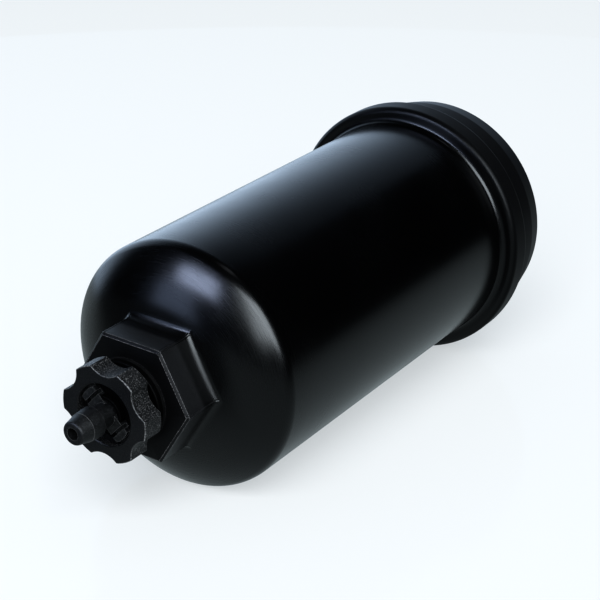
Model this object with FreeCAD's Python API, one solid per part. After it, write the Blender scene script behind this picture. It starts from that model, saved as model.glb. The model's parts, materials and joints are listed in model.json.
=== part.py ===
import FreeCAD, Part
import math
import os

from FreeCAD import Vector

# Filter canister with a replaceable cartridge and a hand-wheel drain valve, lying on its side.
# Millimetres, +Z up, the canister's axis along +Y with the drain end towards -Y.
# Stations are measured along the axis from a plane just inside the wrench hexagon's end
# face, positive towards the mouth. Every piece is built about the Y axis, and put_away()
# moves it to where the canister lies.

# ---- canister shell ----
BODY_R = 39.5
WALL = 3.0
KNUCKLE_STATION = 25.2          # where the cylinder ends and the domed end begins
KNUCKLE_R = 5.0
KNUCKLE_TURN_DEG = 46.0         # how far the knuckle turns before the wide crown arc
CROWN_STATION = 12.0            # the crown's level middle
HEX_FACE = -0.8
HEX_AF = 36.0
HEX_CLOCK_DEG = -3.4            # a corner of the hexagon, from +X towards +Z
HEX_CHAMFER = 0.7
HEX_FILLET = 2.6
DRAIN_HOLE_R = 9.0

# ---- mouth of the canister ----
COLLAR_FRONT = 151.4
COLLAR_BACK = 160.5
COLLAR_R = 44.8
COLLAR_ROOT_R = 2.0
COLLAR_FRONT_EDGE_R = 2.0
COLLAR_BACK_EDGE_R = 1.5
SEAL_GROOVE_WIDTH = 3.2
SEAL_GROOVE_R = 39.5
SEAL_WIRE_R = 1.3
LAND_R = 41.8
LAND_LENGTH = 6.7
LAND_FRONT_EDGE_R = 0.3
LAND_BACK_EDGE_R = 3.0
MOUTH_STATION = 178.2
MOUTH_R = 40.1
MOUTH_EDGE_R = 0.6
THREAD_R = 37.5
THREAD_LENGTH = 12.0
MOUTH_CHAMFER = 0.6

# ---- drain valve body ----
GASKET_T = 1.0
VALVE_FLANGE_R = 12.5
VALVE_FLANGE_T = 1.8
SNOUT_R = 8.2
SNOUT_END = -10.0
SNOUT_RING_STATION = -4.6
SNOUT_RING_WIRE_R = 0.6
SLEEVE_R = 5.6                  # the thin sleeve in front of the snout
SLEEVE_END = -12.2
VALVE_BORE_R = 4.8
VALVE_SEAT = 11.0
VALVE_TAIL = 0.8                # how far it stands inside the canister
PORT_R = 1.9
KEYS = 2
KEY_CLOCK_DEG = 135.0
KEYWAY_WIDTH = 6.2
KEYWAY_FLOOR = -7.4

# ---- hand wheel ----
WHEEL_FRONT = -12.9
WHEEL_BACK = -5.6
WHEEL_R = 15.0
WHEEL_ROOT_R = 12.6
LOBES = 6
LOBE_CLOCK_DEG = -5.0
LOBE_TOP_DEG = 24.0
LOBE_CORNER_R = 0.7
WHEEL_RIM_R = 0.4
WHEEL_BORE_R = 9.5
WHEEL_BORE_CHAMFER = 0.3
WHEEL_THREAD_R = 8.3
HOOK_GROOVE_R = 10.2
HOOK_GROOVE_FRONT = -11.3
HOOK_GROOVE_BACK = -9.8

# ---- hose nozzle and stem ----
NOZZLE_TIP = -26.0
NOZZLE_TIP_R = 3.5
NOZZLE_TIP_EDGE_R = 0.8
NOZZLE_STEP = -21.8
NOZZLE_STEP_R = 4.35
NOZZLE_STEP_RISE = 0.1
BARB_R = 4.66
BARB_FRONT = -19.0
BARB_BACK = -17.4
BARB_RAMP = 0.3
NECK_R = 3.6
SHANK_R = 4.74
KEY_WIDTH = 5.8
KEY_FRONT = -12.4
KEY_BACK = -7.6
KEY_R = 8.0
TAB_R = 8.6
HOOK_R = 9.95
HOOK_FRONT = -11.15
HOOK_BACK = -9.95
SPRING_SLOT_R = (5.5, 6.6)      # the slot across each key that lets its hook flex
SPRING_SLOT_FLOOR = -10.4
STEM_RING_STATION = 0.0
STEM_RING_WIRE_R = 0.9
STEM_RING_OUTER_R = 4.76
FLOW_R = 3.3
FLOW_FRONT = 3.0
FLOW_BACK = 9.2
CROSS_HOLE_R = 1.2
CROSS_HOLE_STATION = 6.6
STEM_BORE_END = 8.2
STEM_END = 10.0
NOSE_SEAL_T = 0.95
NOSE_SEAL_R = 4.3
NOSE_PEG_R = 1.2

# ---- spring and its seat ----
SPRING_MEAN_R = 13.5
SPRING_WIRE_R = 0.9
SPRING_TURNS = 4.0
SEAT_STATION = 34.0
SEAT_T = 1.9
SEAT_R = 17.5
SEAT_RIM_DEPTH = 4.0
SEAT_RIM_WALL = 1.5
SPIGOT_R = 7.0
SPIGOT_WALL = 1.8
SPIGOT_END = 44.0
SEAT_WINDOWS = 6
SEAT_WINDOW_R = 2.2
SEAT_WINDOW_PITCH_R = 11.2
SEAT_RING_STATION = 40.5
SEAT_RING_WIRE_R = 0.8
SEAT_RING_OUTER_R = 7.1

# ---- cartridge ----
CARTRIDGE_BOTTOM = 36.0
TOP_PLATE = 153.0
CAP_T = 1.4
CAP_RIM = 6.0
BOTTOM_CAP_R = 31.0
TOP_CAP_R = 31.5
SOCKET_R = 7.15
SOCKET_WALL = 1.6
SOCKET_DEPTH = 11.0
POTTING_T = 2.2
TUBE_R = 14.0
TUBE_WALL = 1.0
TUBE_HOLES_ROUND = 8
TUBE_HOLE_ROWS = 9
TUBE_HOLE_R = 2.4
PLEATS = 44
PLEAT_INNER_R = 14.8
PLEAT_OUTER_R = 28.4
PLEAT_SHEET = 0.55
PLEAT_TIP_HALF = 0.9
PLEAT_VALLEY_HALF = 0.3
BAND_STATIONS = (76.0, 114.0)
BAND_WIRE_R = 0.7
LUGS = 4
LUG_R = 36.2
LUG_WIDTH = 9.0
LUG_CLOCK_DEG = 45.0
OUTLET_R = 11.6
OUTLET_WALL = 1.4
OUTLET_HEIGHT = 4.0
GROMMET_HOLE_R = 9.0
GROMMET_LIP_R = 12.6
GROMMET_LIP_T = 1.2

# ---- edges and fits ----
FINE_EDGE_R = 0.3
EDGE_R = 0.5
SOFT_EDGE_R = 1.0
FIT_GAP = 0.1
TOUCH_GAP = 0.05

# ---- worked out from the above ----
AXIS_HEIGHT = COLLAR_R
MID_STATION = (NOZZLE_TIP + MOUTH_STATION) / 2
BOSS_FLOOR = CROWN_STATION + WALL
LAND_FRONT = COLLAR_BACK + SEAL_GROOVE_WIDTH
LAND_BACK = LAND_FRONT + LAND_LENGTH
GASKET_FRONT = HEX_FACE - GASKET_T
VALVE_FLANGE_FRONT = GASKET_FRONT - VALVE_FLANGE_T
BOTTOM_PLATE_TOP = CARTRIDGE_BOTTOM + CAP_T
TOP_PLATE_BOTTOM = TOP_PLATE - CAP_T
MEDIA_START = BOTTOM_PLATE_TOP + POTTING_T
MEDIA_END = TOP_PLATE_BOTTOM - POTTING_T

ORIGIN = Vector(0, 0, 0)
AXIS = Vector(0, 1, 0)


# ---------------------------------------------------------------- helpers
def at(radius, station, turn_deg=0.0):
    """A point at a radius and station, turned about the axis from +X towards +Z."""
    turn = math.radians(turn_deg)
    return Vector(radius * math.cos(turn), station, radius * math.sin(turn))


def rounded_corner(before, corner, after, radius):
    """The start, middle and end of the arc that rounds a corner."""
    back = (before - corner).normalize()
    ahead = (after - corner).normalize()
    half = back.getAngle(ahead) / 2
    reach = radius / math.tan(half)
    inward = (back + ahead).normalize()
    middle = corner + inward * (radius / math.sin(half) - radius)
    return corner + back * reach, middle, corner + ahead * reach


def turned(corners):
    """A solid of revolution from (radius, station) or (radius, station, rounding) corners."""
    points = [at(corner[0], corner[1]) for corner in corners]
    edges = []
    stretches = []
    for i, corner in enumerate(corners):
        if len(corner) == 3:
            before, after = points[i - 1], points[(i + 1) % len(points)]
            start, middle, end = rounded_corner(before, points[i], after, corner[2])
            edges.append(Part.Arc(start, middle, end).toShape())
            stretches.append((start, end))
        else:
            stretches.append((points[i], points[i]))
    for i, (start, _) in enumerate(stretches):
        edges.append(Part.LineSegment(stretches[i - 1][1], start).toShape())
    outline = Part.Wire(Part.sortEdges(edges)[0])
    return Part.Face(outline).revolve(ORIGIN, AXIS, 360)


def rod(radius, front, back):
    return Part.makeCylinder(radius, back - front, at(0, front), AXIS)


def tube(outer_r, inner_r, front, back):
    return rod(outer_r, front, back).cut(rod(inner_r, front, back))


def torus(mean_r, station, wire_r):
    return Part.makeTorus(mean_r, wire_r, at(0, station), AXIS)


def around(shape, turn_deg):
    """A copy turned about the axis, from +X towards +Z."""
    copy = shape.copy()
    copy.rotate(ORIGIN, AXIS, -turn_deg)
    return copy


def evenly_around(shape, count, first_deg=0.0):
    """Copies of a shape, evenly spaced about the axis."""
    return [around(shape, first_deg + 360 / count * i) for i in range(count)]


def radial_block(inner_r, outer_r, front, back, width):
    """A flat-sided block that stands out from the axis towards +X."""
    corner = Vector(inner_r, front, -width / 2)
    return Part.makeBox(outer_r - inner_r, back - front, width, corner)


def radial_hole(radius, station, reach):
    """A round cutter that stands out from the axis towards +X."""
    return Part.makeCylinder(radius, reach, at(0, station), Vector(1, 0, 0))


def is_level(edge, station):
    """Whether an edge lies wholly at one station."""
    box = edge.BoundBox
    return abs(box.YMin - station) < 1e-3 and abs(box.YMax - station) < 1e-3


def one_piece(shape):
    """The shape's only solid."""
    clean = shape.removeSplitter()
    if len(clean.Solids) != 1:
        raise ValueError("expected one solid, found %d" % len(clean.Solids))
    return clean.Solids[0]


def put_away(shape, node):
    """Move a piece from the axis to where the canister lies, and write it."""
    placed = shape.copy()
    placed.translate(Vector(0, -MID_STATION, AXIS_HEIGHT))
    if not placed.isValid():
        raise ValueError(node + " is not a valid shape")
    placed.exportStep("parts/" + node + ".step")


# ---------------------------------------------------------------- canister
def domed_solid(inset, end_station):
    """The domed end and the cylinder behind it, offset inwards by inset.

    A tight knuckle leaves the cylinder, and a wide arc carries on to the level crown."""
    turn = math.radians(KNUCKLE_TURN_DEG)
    radius = BODY_R - inset
    crown = CROWN_STATION + inset
    knuckle_r = KNUCKLE_R - inset
    knuckle = at(radius - knuckle_r, KNUCKLE_STATION)
    knuckle_end = knuckle + Vector(math.cos(turn), -math.sin(turn), 0) * knuckle_r
    knuckle_mid = knuckle + Vector(math.cos(turn / 2), -math.sin(turn / 2), 0) * knuckle_r
    wide_r = (knuckle_end.y - crown) / (1 - math.sin(turn))
    wide = at(knuckle_end.x - wide_r * math.cos(turn), crown + wide_r)
    lean = (turn + math.pi / 2) / 2
    wide_mid = wide + Vector(math.cos(lean), -math.sin(lean), 0) * wide_r
    wide_end = at(wide.x, crown)
    corners = [wide_end, at(0, crown), at(0, end_station), at(radius, end_station)]
    corners.append(at(radius, KNUCKLE_STATION))
    edges = [
        Part.Arc(corners[-1], knuckle_mid, knuckle_end).toShape(),
        Part.Arc(knuckle_end, wide_mid, wide_end).toShape(),
    ]
    edges += [Part.LineSegment(a, b).toShape() for a, b in zip(corners, corners[1:])]
    return Part.Face(Part.Wire(edges)).revolve(ORIGIN, AXIS, 360)


def hexagon():
    """The wrench hexagon, from its chamfered end face into the domed end."""
    corner_r = HEX_AF / math.sqrt(3)
    points = [at(corner_r, HEX_FACE, HEX_CLOCK_DEG + 60 * i) for i in range(7)]
    prism = Part.Face(Part.makePolygon(points)).extrude(at(0, KNUCKLE_STATION - HEX_FACE))
    return prism.makeChamfer(HEX_CHAMFER, [e for e in prism.Edges if is_level(e, HEX_FACE)])


def hexagon_root(shell):
    """The edges where the hexagon's flats run into the domed end."""
    return [
        edge for edge in shell.Edges
        if edge.BoundBox.YMin > CROWN_STATION - 0.5
        and edge.BoundBox.YMax < KNUCKLE_STATION - WALL
        and edge.BoundBox.DiagonalLength < HEX_AF
    ]


def mouth_rings():
    """Collar, seal groove, land and tapered nose, as one ring round the cylinder."""
    inner_r = BODY_R - WALL / 2
    return turned([
        (inner_r, COLLAR_FRONT - COLLAR_ROOT_R),
        (BODY_R, COLLAR_FRONT - COLLAR_ROOT_R),
        (BODY_R, COLLAR_FRONT, COLLAR_ROOT_R - 1e-3),
        (COLLAR_R, COLLAR_FRONT, COLLAR_FRONT_EDGE_R),
        (COLLAR_R, COLLAR_BACK, COLLAR_BACK_EDGE_R),
        (SEAL_GROOVE_R, COLLAR_BACK),
        (SEAL_GROOVE_R, LAND_FRONT),
        (LAND_R, LAND_FRONT, LAND_FRONT_EDGE_R),
        (LAND_R, LAND_BACK, LAND_BACK_EDGE_R),
        (MOUTH_R, MOUTH_STATION, MOUTH_EDGE_R),
        (inner_r, MOUTH_STATION),
    ])


def bowl():
    shell = one_piece(domed_solid(0, MOUTH_STATION).fuse(hexagon()))
    shell = shell.makeFillet(HEX_FILLET, hexagon_root(shell))
    shell = shell.fuse(mouth_rings())
    thread = turned([
        (0, MOUTH_STATION - THREAD_LENGTH),
        (THREAD_R, MOUTH_STATION - THREAD_LENGTH),
        (THREAD_R, MOUTH_STATION - MOUTH_CHAMFER),
        (THREAD_R + MOUTH_CHAMFER, MOUTH_STATION),
        (0, MOUTH_STATION),
    ])
    inside = domed_solid(WALL, MOUTH_STATION)
    drain_hole = rod(DRAIN_HOLE_R, HEX_FACE, BOSS_FLOOR)
    return one_piece(shell.cut(inside).cut(thread).cut(drain_hole))


def mouth_o_ring():
    middle = (COLLAR_BACK + LAND_FRONT) / 2
    return torus(SEAL_GROOVE_R + SEAL_WIRE_R + TOUCH_GAP, middle, SEAL_WIRE_R)


# ---------------------------------------------------------------- drain valve
def drain_gasket():
    return tube(VALVE_FLANGE_R, DRAIN_HOLE_R + FIT_GAP, GASKET_FRONT, HEX_FACE)


def valve_body():
    """The threaded plug in the drain hole, with a slotted snout for the hand wheel."""
    shank_r = DRAIN_HOLE_R - FIT_GAP
    tail = BOSS_FLOOR + VALVE_TAIL
    groove_front = SNOUT_RING_STATION - SNOUT_RING_WIRE_R
    groove_back = SNOUT_RING_STATION + SNOUT_RING_WIRE_R
    groove_r = SNOUT_R - SNOUT_RING_WIRE_R
    outside = turned([
        (0, SLEEVE_END),
        (SLEEVE_R, SLEEVE_END, FINE_EDGE_R / 2),
        (SLEEVE_R, SNOUT_END),
        (SNOUT_R, SNOUT_END, FINE_EDGE_R),
        (SNOUT_R, groove_front),
        (groove_r, groove_front),
        (groove_r, groove_back),
        (SNOUT_R, groove_back),
        (SNOUT_R, VALVE_FLANGE_FRONT),
        (VALVE_FLANGE_R, VALVE_FLANGE_FRONT, EDGE_R),
        (VALVE_FLANGE_R, GASKET_FRONT),
        (shank_r, GASKET_FRONT),
        (shank_r, tail, EDGE_R),
        (0, tail),
    ])
    body = outside.cut(rod(VALVE_BORE_R, SLEEVE_END, VALVE_SEAT))
    body = body.cut(rod(PORT_R, VALVE_SEAT, tail))
    keyway = radial_block(NECK_R, SNOUT_R + 1, SLEEVE_END, KEYWAY_FLOOR, KEYWAY_WIDTH)
    return one_piece(body.cut(evenly_around(keyway, KEYS, KEY_CLOCK_DEG)))


def snout_o_ring():
    """The dirt ring behind the hand wheel."""
    return torus(SNOUT_R + TOUCH_GAP, SNOUT_RING_STATION, SNOUT_RING_WIRE_R - TOUCH_GAP)


def stem_key():
    """One key of the stem, with a sprung hook that the hand wheel snaps onto."""
    keyed = radial_block(0, KEY_R, KEY_FRONT, KEY_BACK, KEY_WIDTH)
    tab = radial_block(0, TAB_R, KEY_FRONT, HOOK_BACK, KEY_WIDTH)
    hook = radial_block(0, HOOK_R + 1, HOOK_FRONT, HOOK_BACK, KEY_WIDTH)
    hook = hook.common(rod(HOOK_R, HOOK_FRONT, HOOK_BACK))
    keyed = keyed.common(rod(KEY_R, KEY_FRONT, KEY_BACK))
    tab = tab.common(rod(TAB_R, KEY_FRONT, HOOK_BACK))
    slot = radial_block(*SPRING_SLOT_R, KEY_FRONT, SPRING_SLOT_FLOOR, KEY_WIDTH)
    return keyed.fuse([tab, hook]).cut(slot)


def drain_stem():
    """The hose nozzle, its keys and the valve stem behind them, in one piece."""
    groove_front = STEM_RING_STATION - STEM_RING_WIRE_R - FIT_GAP
    groove_back = STEM_RING_STATION + STEM_RING_WIRE_R + FIT_GAP
    groove_r = STEM_RING_OUTER_R - 2 * STEM_RING_WIRE_R - TOUCH_GAP
    outside = turned([
        (0, NOZZLE_TIP),
        (NOZZLE_TIP_R, NOZZLE_TIP, NOZZLE_TIP_EDGE_R),
        (NOZZLE_STEP_R, NOZZLE_STEP),
        (NOZZLE_STEP_R + NOZZLE_STEP_RISE, NOZZLE_STEP),
        (BARB_R, BARB_FRONT),
        (BARB_R, BARB_BACK),
        (NECK_R, BARB_BACK + BARB_RAMP),
        (NECK_R, KEY_BACK),
        (SHANK_R, KEY_BACK),
        (SHANK_R, groove_front),
        (groove_r, groove_front),
        (groove_r, groove_back),
        (SHANK_R, groove_back),
        (SHANK_R, FLOW_FRONT),
        (FLOW_R, FLOW_FRONT),
        (FLOW_R, FLOW_BACK),
        (NOSE_SEAL_R, FLOW_BACK),
        (NOSE_SEAL_R, STEM_END),
        (NOSE_PEG_R, STEM_END),
        (NOSE_PEG_R, STEM_END + NOSE_SEAL_T),
        (0, STEM_END + NOSE_SEAL_T),
    ])
    stem = outside.fuse(evenly_around(stem_key(), KEYS, KEY_CLOCK_DEG))
    stem = stem.cut(rod(PORT_R, NOZZLE_TIP, STEM_BORE_END))
    cross_hole = radial_hole(CROSS_HOLE_R, CROSS_HOLE_STATION, FLOW_R + 1)
    return one_piece(stem.cut(evenly_around(cross_hole, 4)))


def stem_o_ring():
    mean_r = STEM_RING_OUTER_R - STEM_RING_WIRE_R
    return torus(mean_r, STEM_RING_STATION, STEM_RING_WIRE_R)


def nose_seal():
    return tube(NOSE_SEAL_R, NOSE_PEG_R + TOUCH_GAP, STEM_END, STEM_END + NOSE_SEAL_T)


def wheel_outline():
    """Six lobes with round scallops between them, as a closed wire."""
    edges = []
    pitch = 360 / LOBES
    for i in range(LOBES):
        lobe = LOBE_CLOCK_DEG + pitch * i
        first = at(WHEEL_R, WHEEL_FRONT, lobe - LOBE_TOP_DEG / 2)
        top = at(WHEEL_R, WHEEL_FRONT, lobe)
        last = at(WHEEL_R, WHEEL_FRONT, lobe + LOBE_TOP_DEG / 2)
        scallop = at(WHEEL_ROOT_R, WHEEL_FRONT, lobe + pitch / 2)
        following = at(WHEEL_R, WHEEL_FRONT, lobe + pitch - LOBE_TOP_DEG / 2)
        edges.append(Part.Arc(first, top, last).toShape())
        edges.append(Part.Arc(last, scallop, following).toShape())
    return Part.Wire(edges)


def drain_wheel():
    wheel = Part.Face(wheel_outline()).extrude(at(0, WHEEL_BACK - WHEEL_FRONT))
    corners = [e for e in wheel.Edges if e.BoundBox.YLength > 1]
    wheel = wheel.makeFillet(LOBE_CORNER_R, corners)
    rims = [e for e in wheel.Edges if is_level(e, WHEEL_FRONT) or is_level(e, WHEEL_BACK)]
    wheel = wheel.makeFillet(WHEEL_RIM_R, rims)
    recess = turned([
        (0, WHEEL_FRONT),
        (WHEEL_BORE_R + WHEEL_BORE_CHAMFER, WHEEL_FRONT),
        (WHEEL_BORE_R, WHEEL_FRONT + WHEEL_BORE_CHAMFER),
        (WHEEL_BORE_R, HOOK_GROOVE_FRONT),
        (HOOK_GROOVE_R, HOOK_GROOVE_FRONT),
        (HOOK_GROOVE_R, HOOK_GROOVE_BACK),
        (WHEEL_THREAD_R, HOOK_GROOVE_BACK),
        (WHEEL_THREAD_R, WHEEL_BACK),
        (0, WHEEL_BACK),
    ])
    return one_piece(wheel.cut(recess))


# ---------------------------------------------------------------- spring and seat
def cartridge_spring():
    foot = BOSS_FLOOR + SPRING_WIRE_R + FIT_GAP
    head = SEAT_STATION - SPRING_WIRE_R - FIT_GAP
    rise = head - foot
    helix = Part.makeHelix(rise / SPRING_TURNS, rise, SPRING_MEAN_R)
    section = Part.makeCircle(SPRING_WIRE_R, Vector(SPRING_MEAN_R, 0, 0), AXIS)
    coil = Part.Wire(helix).makePipeShell([Part.Wire(section)], True, True)
    coil.rotate(ORIGIN, Vector(1, 0, 0), -90)
    coil.translate(at(0, foot))
    return coil


def spring_seat():
    """The dished plate on the spring, with a spigot that the cartridge plugs onto."""
    top = SEAT_STATION + SEAT_T
    groove_front = SEAT_RING_STATION - SEAT_RING_WIRE_R - FIT_GAP
    groove_back = SEAT_RING_STATION + SEAT_RING_WIRE_R + FIT_GAP
    groove_r = SEAT_RING_OUTER_R - 2 * SEAT_RING_WIRE_R - TOUCH_GAP
    rim_r = SEAT_R - SEAT_RIM_WALL
    plate = turned([
        (0, SEAT_STATION),
        (rim_r, SEAT_STATION),
        (rim_r, SEAT_STATION - SEAT_RIM_DEPTH),
        (SEAT_R, SEAT_STATION - SEAT_RIM_DEPTH),
        (SEAT_R, top, SOFT_EDGE_R),
        (SPIGOT_R, top),
        (SPIGOT_R, groove_front),
        (groove_r, groove_front),
        (groove_r, groove_back),
        (SPIGOT_R, groove_back),
        (SPIGOT_R, SPIGOT_END, SOFT_EDGE_R),
        (0, SPIGOT_END),
    ])
    hollow = rod(SPIGOT_R - SPIGOT_WALL - 1, SEAT_STATION, SPIGOT_END - SPIGOT_WALL)
    window = rod(SEAT_WINDOW_R, SEAT_STATION, top)
    window.translate(at(SEAT_WINDOW_PITCH_R, 0))
    return one_piece(plate.cut(hollow).cut(evenly_around(window, SEAT_WINDOWS)))


def seat_o_ring():
    mean_r = SEAT_RING_OUTER_R - SEAT_RING_WIRE_R
    return torus(mean_r, SEAT_RING_STATION, SEAT_RING_WIRE_R)


# ---------------------------------------------------------------- cartridge
def bottom_end_cap():
    cup_r = SOCKET_R + SOCKET_WALL
    cup_top = CARTRIDGE_BOTTOM + SOCKET_DEPTH + SOCKET_WALL
    rim_top = CARTRIDGE_BOTTOM + CAP_RIM
    return turned([
        (0, CARTRIDGE_BOTTOM + SOCKET_DEPTH),
        (SOCKET_R, CARTRIDGE_BOTTOM + SOCKET_DEPTH),
        (SOCKET_R, CARTRIDGE_BOTTOM),
        (BOTTOM_CAP_R, CARTRIDGE_BOTTOM, SOFT_EDGE_R),
        (BOTTOM_CAP_R, rim_top),
        (BOTTOM_CAP_R - CAP_T, rim_top),
        (BOTTOM_CAP_R - CAP_T, BOTTOM_PLATE_TOP),
        (cup_r, BOTTOM_PLATE_TOP),
        (cup_r, cup_top, SOFT_EDGE_R),
        (0, cup_top),
    ])


def top_end_cap():
    """The upper cap, with an outlet neck and lugs that centre it in the canister."""
    rim_bottom = TOP_PLATE - CAP_RIM
    neck_top = TOP_PLATE + OUTLET_HEIGHT
    cap = turned([
        (OUTLET_R, TOP_PLATE_BOTTOM),
        (TOP_CAP_R - CAP_T, TOP_PLATE_BOTTOM),
        (TOP_CAP_R - CAP_T, rim_bottom),
        (TOP_CAP_R, rim_bottom),
        (TOP_CAP_R, TOP_PLATE, SOFT_EDGE_R),
        (OUTLET_R + OUTLET_WALL, TOP_PLATE),
        (OUTLET_R + OUTLET_WALL, neck_top),
        (OUTLET_R, neck_top),
    ])
    lug = radial_block(TOP_CAP_R - CAP_T, LUG_R + 1, rim_bottom, TOP_PLATE - 1, LUG_WIDTH)
    lug = lug.common(rod(LUG_R, rim_bottom, TOP_PLATE))
    return one_piece(cap.fuse(evenly_around(lug, LUGS, LUG_CLOCK_DEG)))


def potting(cap_r, front):
    """The adhesive that bonds the pleats and the tube into a cap."""
    return tube(cap_r - CAP_T - FIT_GAP, TUBE_R + FIT_GAP, front, front + POTTING_T)


def centre_tube():
    """The perforated tube that holds the pleats up from inside."""
    shell = tube(TUBE_R, TUBE_R - TUBE_WALL, BOTTOM_PLATE_TOP, TOP_PLATE_BOTTOM)
    length = MEDIA_END - MEDIA_START
    row = length / TUBE_HOLE_ROWS
    holes = []
    for i in range(TUBE_HOLE_ROWS):
        station = MEDIA_START + row * (i + 0.5)
        hole = radial_hole(TUBE_HOLE_R, station, TUBE_R + 1)
        stagger = 180 / TUBE_HOLES_ROUND * (i % 2)
        holes += evenly_around(hole, TUBE_HOLES_ROUND, stagger)
    return one_piece(shell.cut(holes))


def pleated_media():
    """A sheet folded in and out all the way round, as one closed band."""
    pitch = 2 * math.pi / PLEATS

    def folds(tip_r, tip_half, valley_r, valley_half):
        points = []
        for i in range(PLEATS):
            tip = pitch * i
            valley = pitch * (i + 0.5)
            for middle, radius, half in ((tip, tip_r, tip_half), (valley, valley_r, valley_half)):
                for side in (-1, 1):
                    turn = math.degrees(middle + side * half / radius)
                    points.append(at(radius, MEDIA_START, turn))
        return Part.Face(Part.makePolygon(points + points[:1]))

    outer = folds(PLEAT_OUTER_R, PLEAT_TIP_HALF, PLEAT_INNER_R + PLEAT_SHEET, PLEAT_VALLEY_HALF)
    inner = folds(
        PLEAT_OUTER_R - PLEAT_SHEET,
        PLEAT_TIP_HALF - PLEAT_SHEET,
        PLEAT_INNER_R,
        PLEAT_VALLEY_HALF + PLEAT_SHEET,
    )
    band = outer.cut(inner)
    return one_piece(band.extrude(at(0, MEDIA_END - MEDIA_START)))


def pleat_bands():
    """Two identical glued cords that keep the pleats evenly spaced."""
    mean_r = PLEAT_OUTER_R + BAND_WIRE_R + TOUCH_GAP
    return Part.makeCompound([torus(mean_r, s, BAND_WIRE_R) for s in BAND_STATIONS])


def outlet_grommet():
    """The rubber ring that seals on the filter head's outlet tube."""
    lip_bottom = TOP_PLATE + OUTLET_HEIGHT + TOUCH_GAP
    outer_r = OUTLET_R - FIT_GAP
    return turned([
        (GROMMET_HOLE_R, TOP_PLATE_BOTTOM),
        (outer_r, TOP_PLATE_BOTTOM),
        (outer_r, lip_bottom),
        (GROMMET_LIP_R, lip_bottom, FINE_EDGE_R),
        (GROMMET_LIP_R, lip_bottom + GROMMET_LIP_T, FINE_EDGE_R),
        (GROMMET_HOLE_R, lip_bottom + GROMMET_LIP_T),
    ])


os.makedirs("parts", exist_ok=True)
put_away(bowl(), "bowl")
put_away(mouth_o_ring(), "mouth_o_ring")
put_away(drain_gasket(), "drain_gasket")
put_away(valve_body(), "valve_body")
put_away(snout_o_ring(), "snout_o_ring")
put_away(drain_stem(), "drain_stem")
put_away(stem_o_ring(), "stem_o_ring")
put_away(nose_seal(), "nose_seal")
put_away(drain_wheel(), "drain_wheel")
put_away(cartridge_spring(), "cartridge_spring")
put_away(spring_seat(), "spring_seat")
put_away(seat_o_ring(), "seat_o_ring")
put_away(bottom_end_cap(), "bottom_end_cap")
put_away(potting(BOTTOM_CAP_R, BOTTOM_PLATE_TOP), "bottom_potting")
put_away(centre_tube(), "centre_tube")
put_away(pleated_media(), "pleated_media")
put_away(pleat_bands(), "pleat_bands")
put_away(potting(TOP_CAP_R, MEDIA_END), "top_potting")
put_away(top_end_cap(), "top_end_cap")
put_away(outlet_grommet(), "outlet_grommet")
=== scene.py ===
import json
import math
import random

import bmesh
import bpy
from mathutils import Matrix, Vector

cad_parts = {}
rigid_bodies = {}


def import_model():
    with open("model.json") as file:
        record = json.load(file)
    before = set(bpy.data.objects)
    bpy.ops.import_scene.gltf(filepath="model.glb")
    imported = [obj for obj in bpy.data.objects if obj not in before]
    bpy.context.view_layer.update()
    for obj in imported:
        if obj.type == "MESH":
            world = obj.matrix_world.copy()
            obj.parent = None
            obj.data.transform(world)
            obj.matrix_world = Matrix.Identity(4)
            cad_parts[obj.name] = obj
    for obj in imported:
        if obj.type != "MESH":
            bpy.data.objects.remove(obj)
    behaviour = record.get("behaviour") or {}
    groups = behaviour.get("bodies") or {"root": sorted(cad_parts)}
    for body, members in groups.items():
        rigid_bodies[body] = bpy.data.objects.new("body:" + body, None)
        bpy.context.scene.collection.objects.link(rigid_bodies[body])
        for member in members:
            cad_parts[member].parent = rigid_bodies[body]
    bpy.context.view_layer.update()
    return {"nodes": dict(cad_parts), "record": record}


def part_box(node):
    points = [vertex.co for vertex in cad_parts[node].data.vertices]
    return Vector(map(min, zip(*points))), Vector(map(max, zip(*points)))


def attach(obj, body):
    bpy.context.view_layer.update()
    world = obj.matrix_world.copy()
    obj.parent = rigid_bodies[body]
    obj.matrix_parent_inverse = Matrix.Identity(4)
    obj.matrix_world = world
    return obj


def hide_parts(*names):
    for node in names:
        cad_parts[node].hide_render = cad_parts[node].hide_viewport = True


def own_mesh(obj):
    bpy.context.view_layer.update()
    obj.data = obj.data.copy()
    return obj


# A filter canister lying on its side, with its drain end towards -Y and its mouth towards +Y.
# The object's own lengths are in millimetres, and MM or place() makes metres of them. Stations run
# along the axis, as in the CAD: 0 is just inside the wrench hexagon's face, and they grow towards
# the mouth.

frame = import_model()

MM = 0.001
MOUTH_STATION = 178.2
AXIS_Z = frame["record"]["mounts"][0]["pos_m"][2]
STATION_ZERO_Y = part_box("bowl")[1].y - MOUTH_STATION * MM

# ---- canister ----
BODY_R = 39.5
WALL = 3.0
KNUCKLE_STATION = 25.2
KNUCKLE_R = 5.0
KNUCKLE_TURN = math.radians(46.0)
CROWN_STATION = 12.0
HEX_FACE = -0.8
HEX_APOTHEM = 18.0
HEX_CLOCK = math.radians(-3.4)
HEX_CHAMFER = 0.7
HEX_CORNER_R = 0.45
HEX_FILLET = 2.6
HEX_FACE_RING_R = 13.0                  # parts the wear and painted edge highlight at the face's rim from those at its hole
DRAIN_HOLE_R = 9.0
DRAIN_HOLE_CHAMFER = 0.5
COLLAR_FRONT = 151.4
COLLAR_BACK = 160.5
COLLAR_R = 44.8
COLLAR_EDGE_R = 2.0
PLAIN_WALL_END = COLLAR_FRONT - 12.0
GROOVE_R = 39.5
LAND_FRONT = 163.7
LAND_BACK = 170.4
LAND_R = 41.8
MOUTH_R = 40.1
MOUTH_CHAMFER = 0.6
THREAD_R = 37.5
THREAD_DEPTH = 1.1
THREAD_PITCH = 2.0
THREAD_START = 166.2
THREAD_STEP_BACK = 0.1
THREAD_FLANK_SLOPE = 3.4

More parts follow.
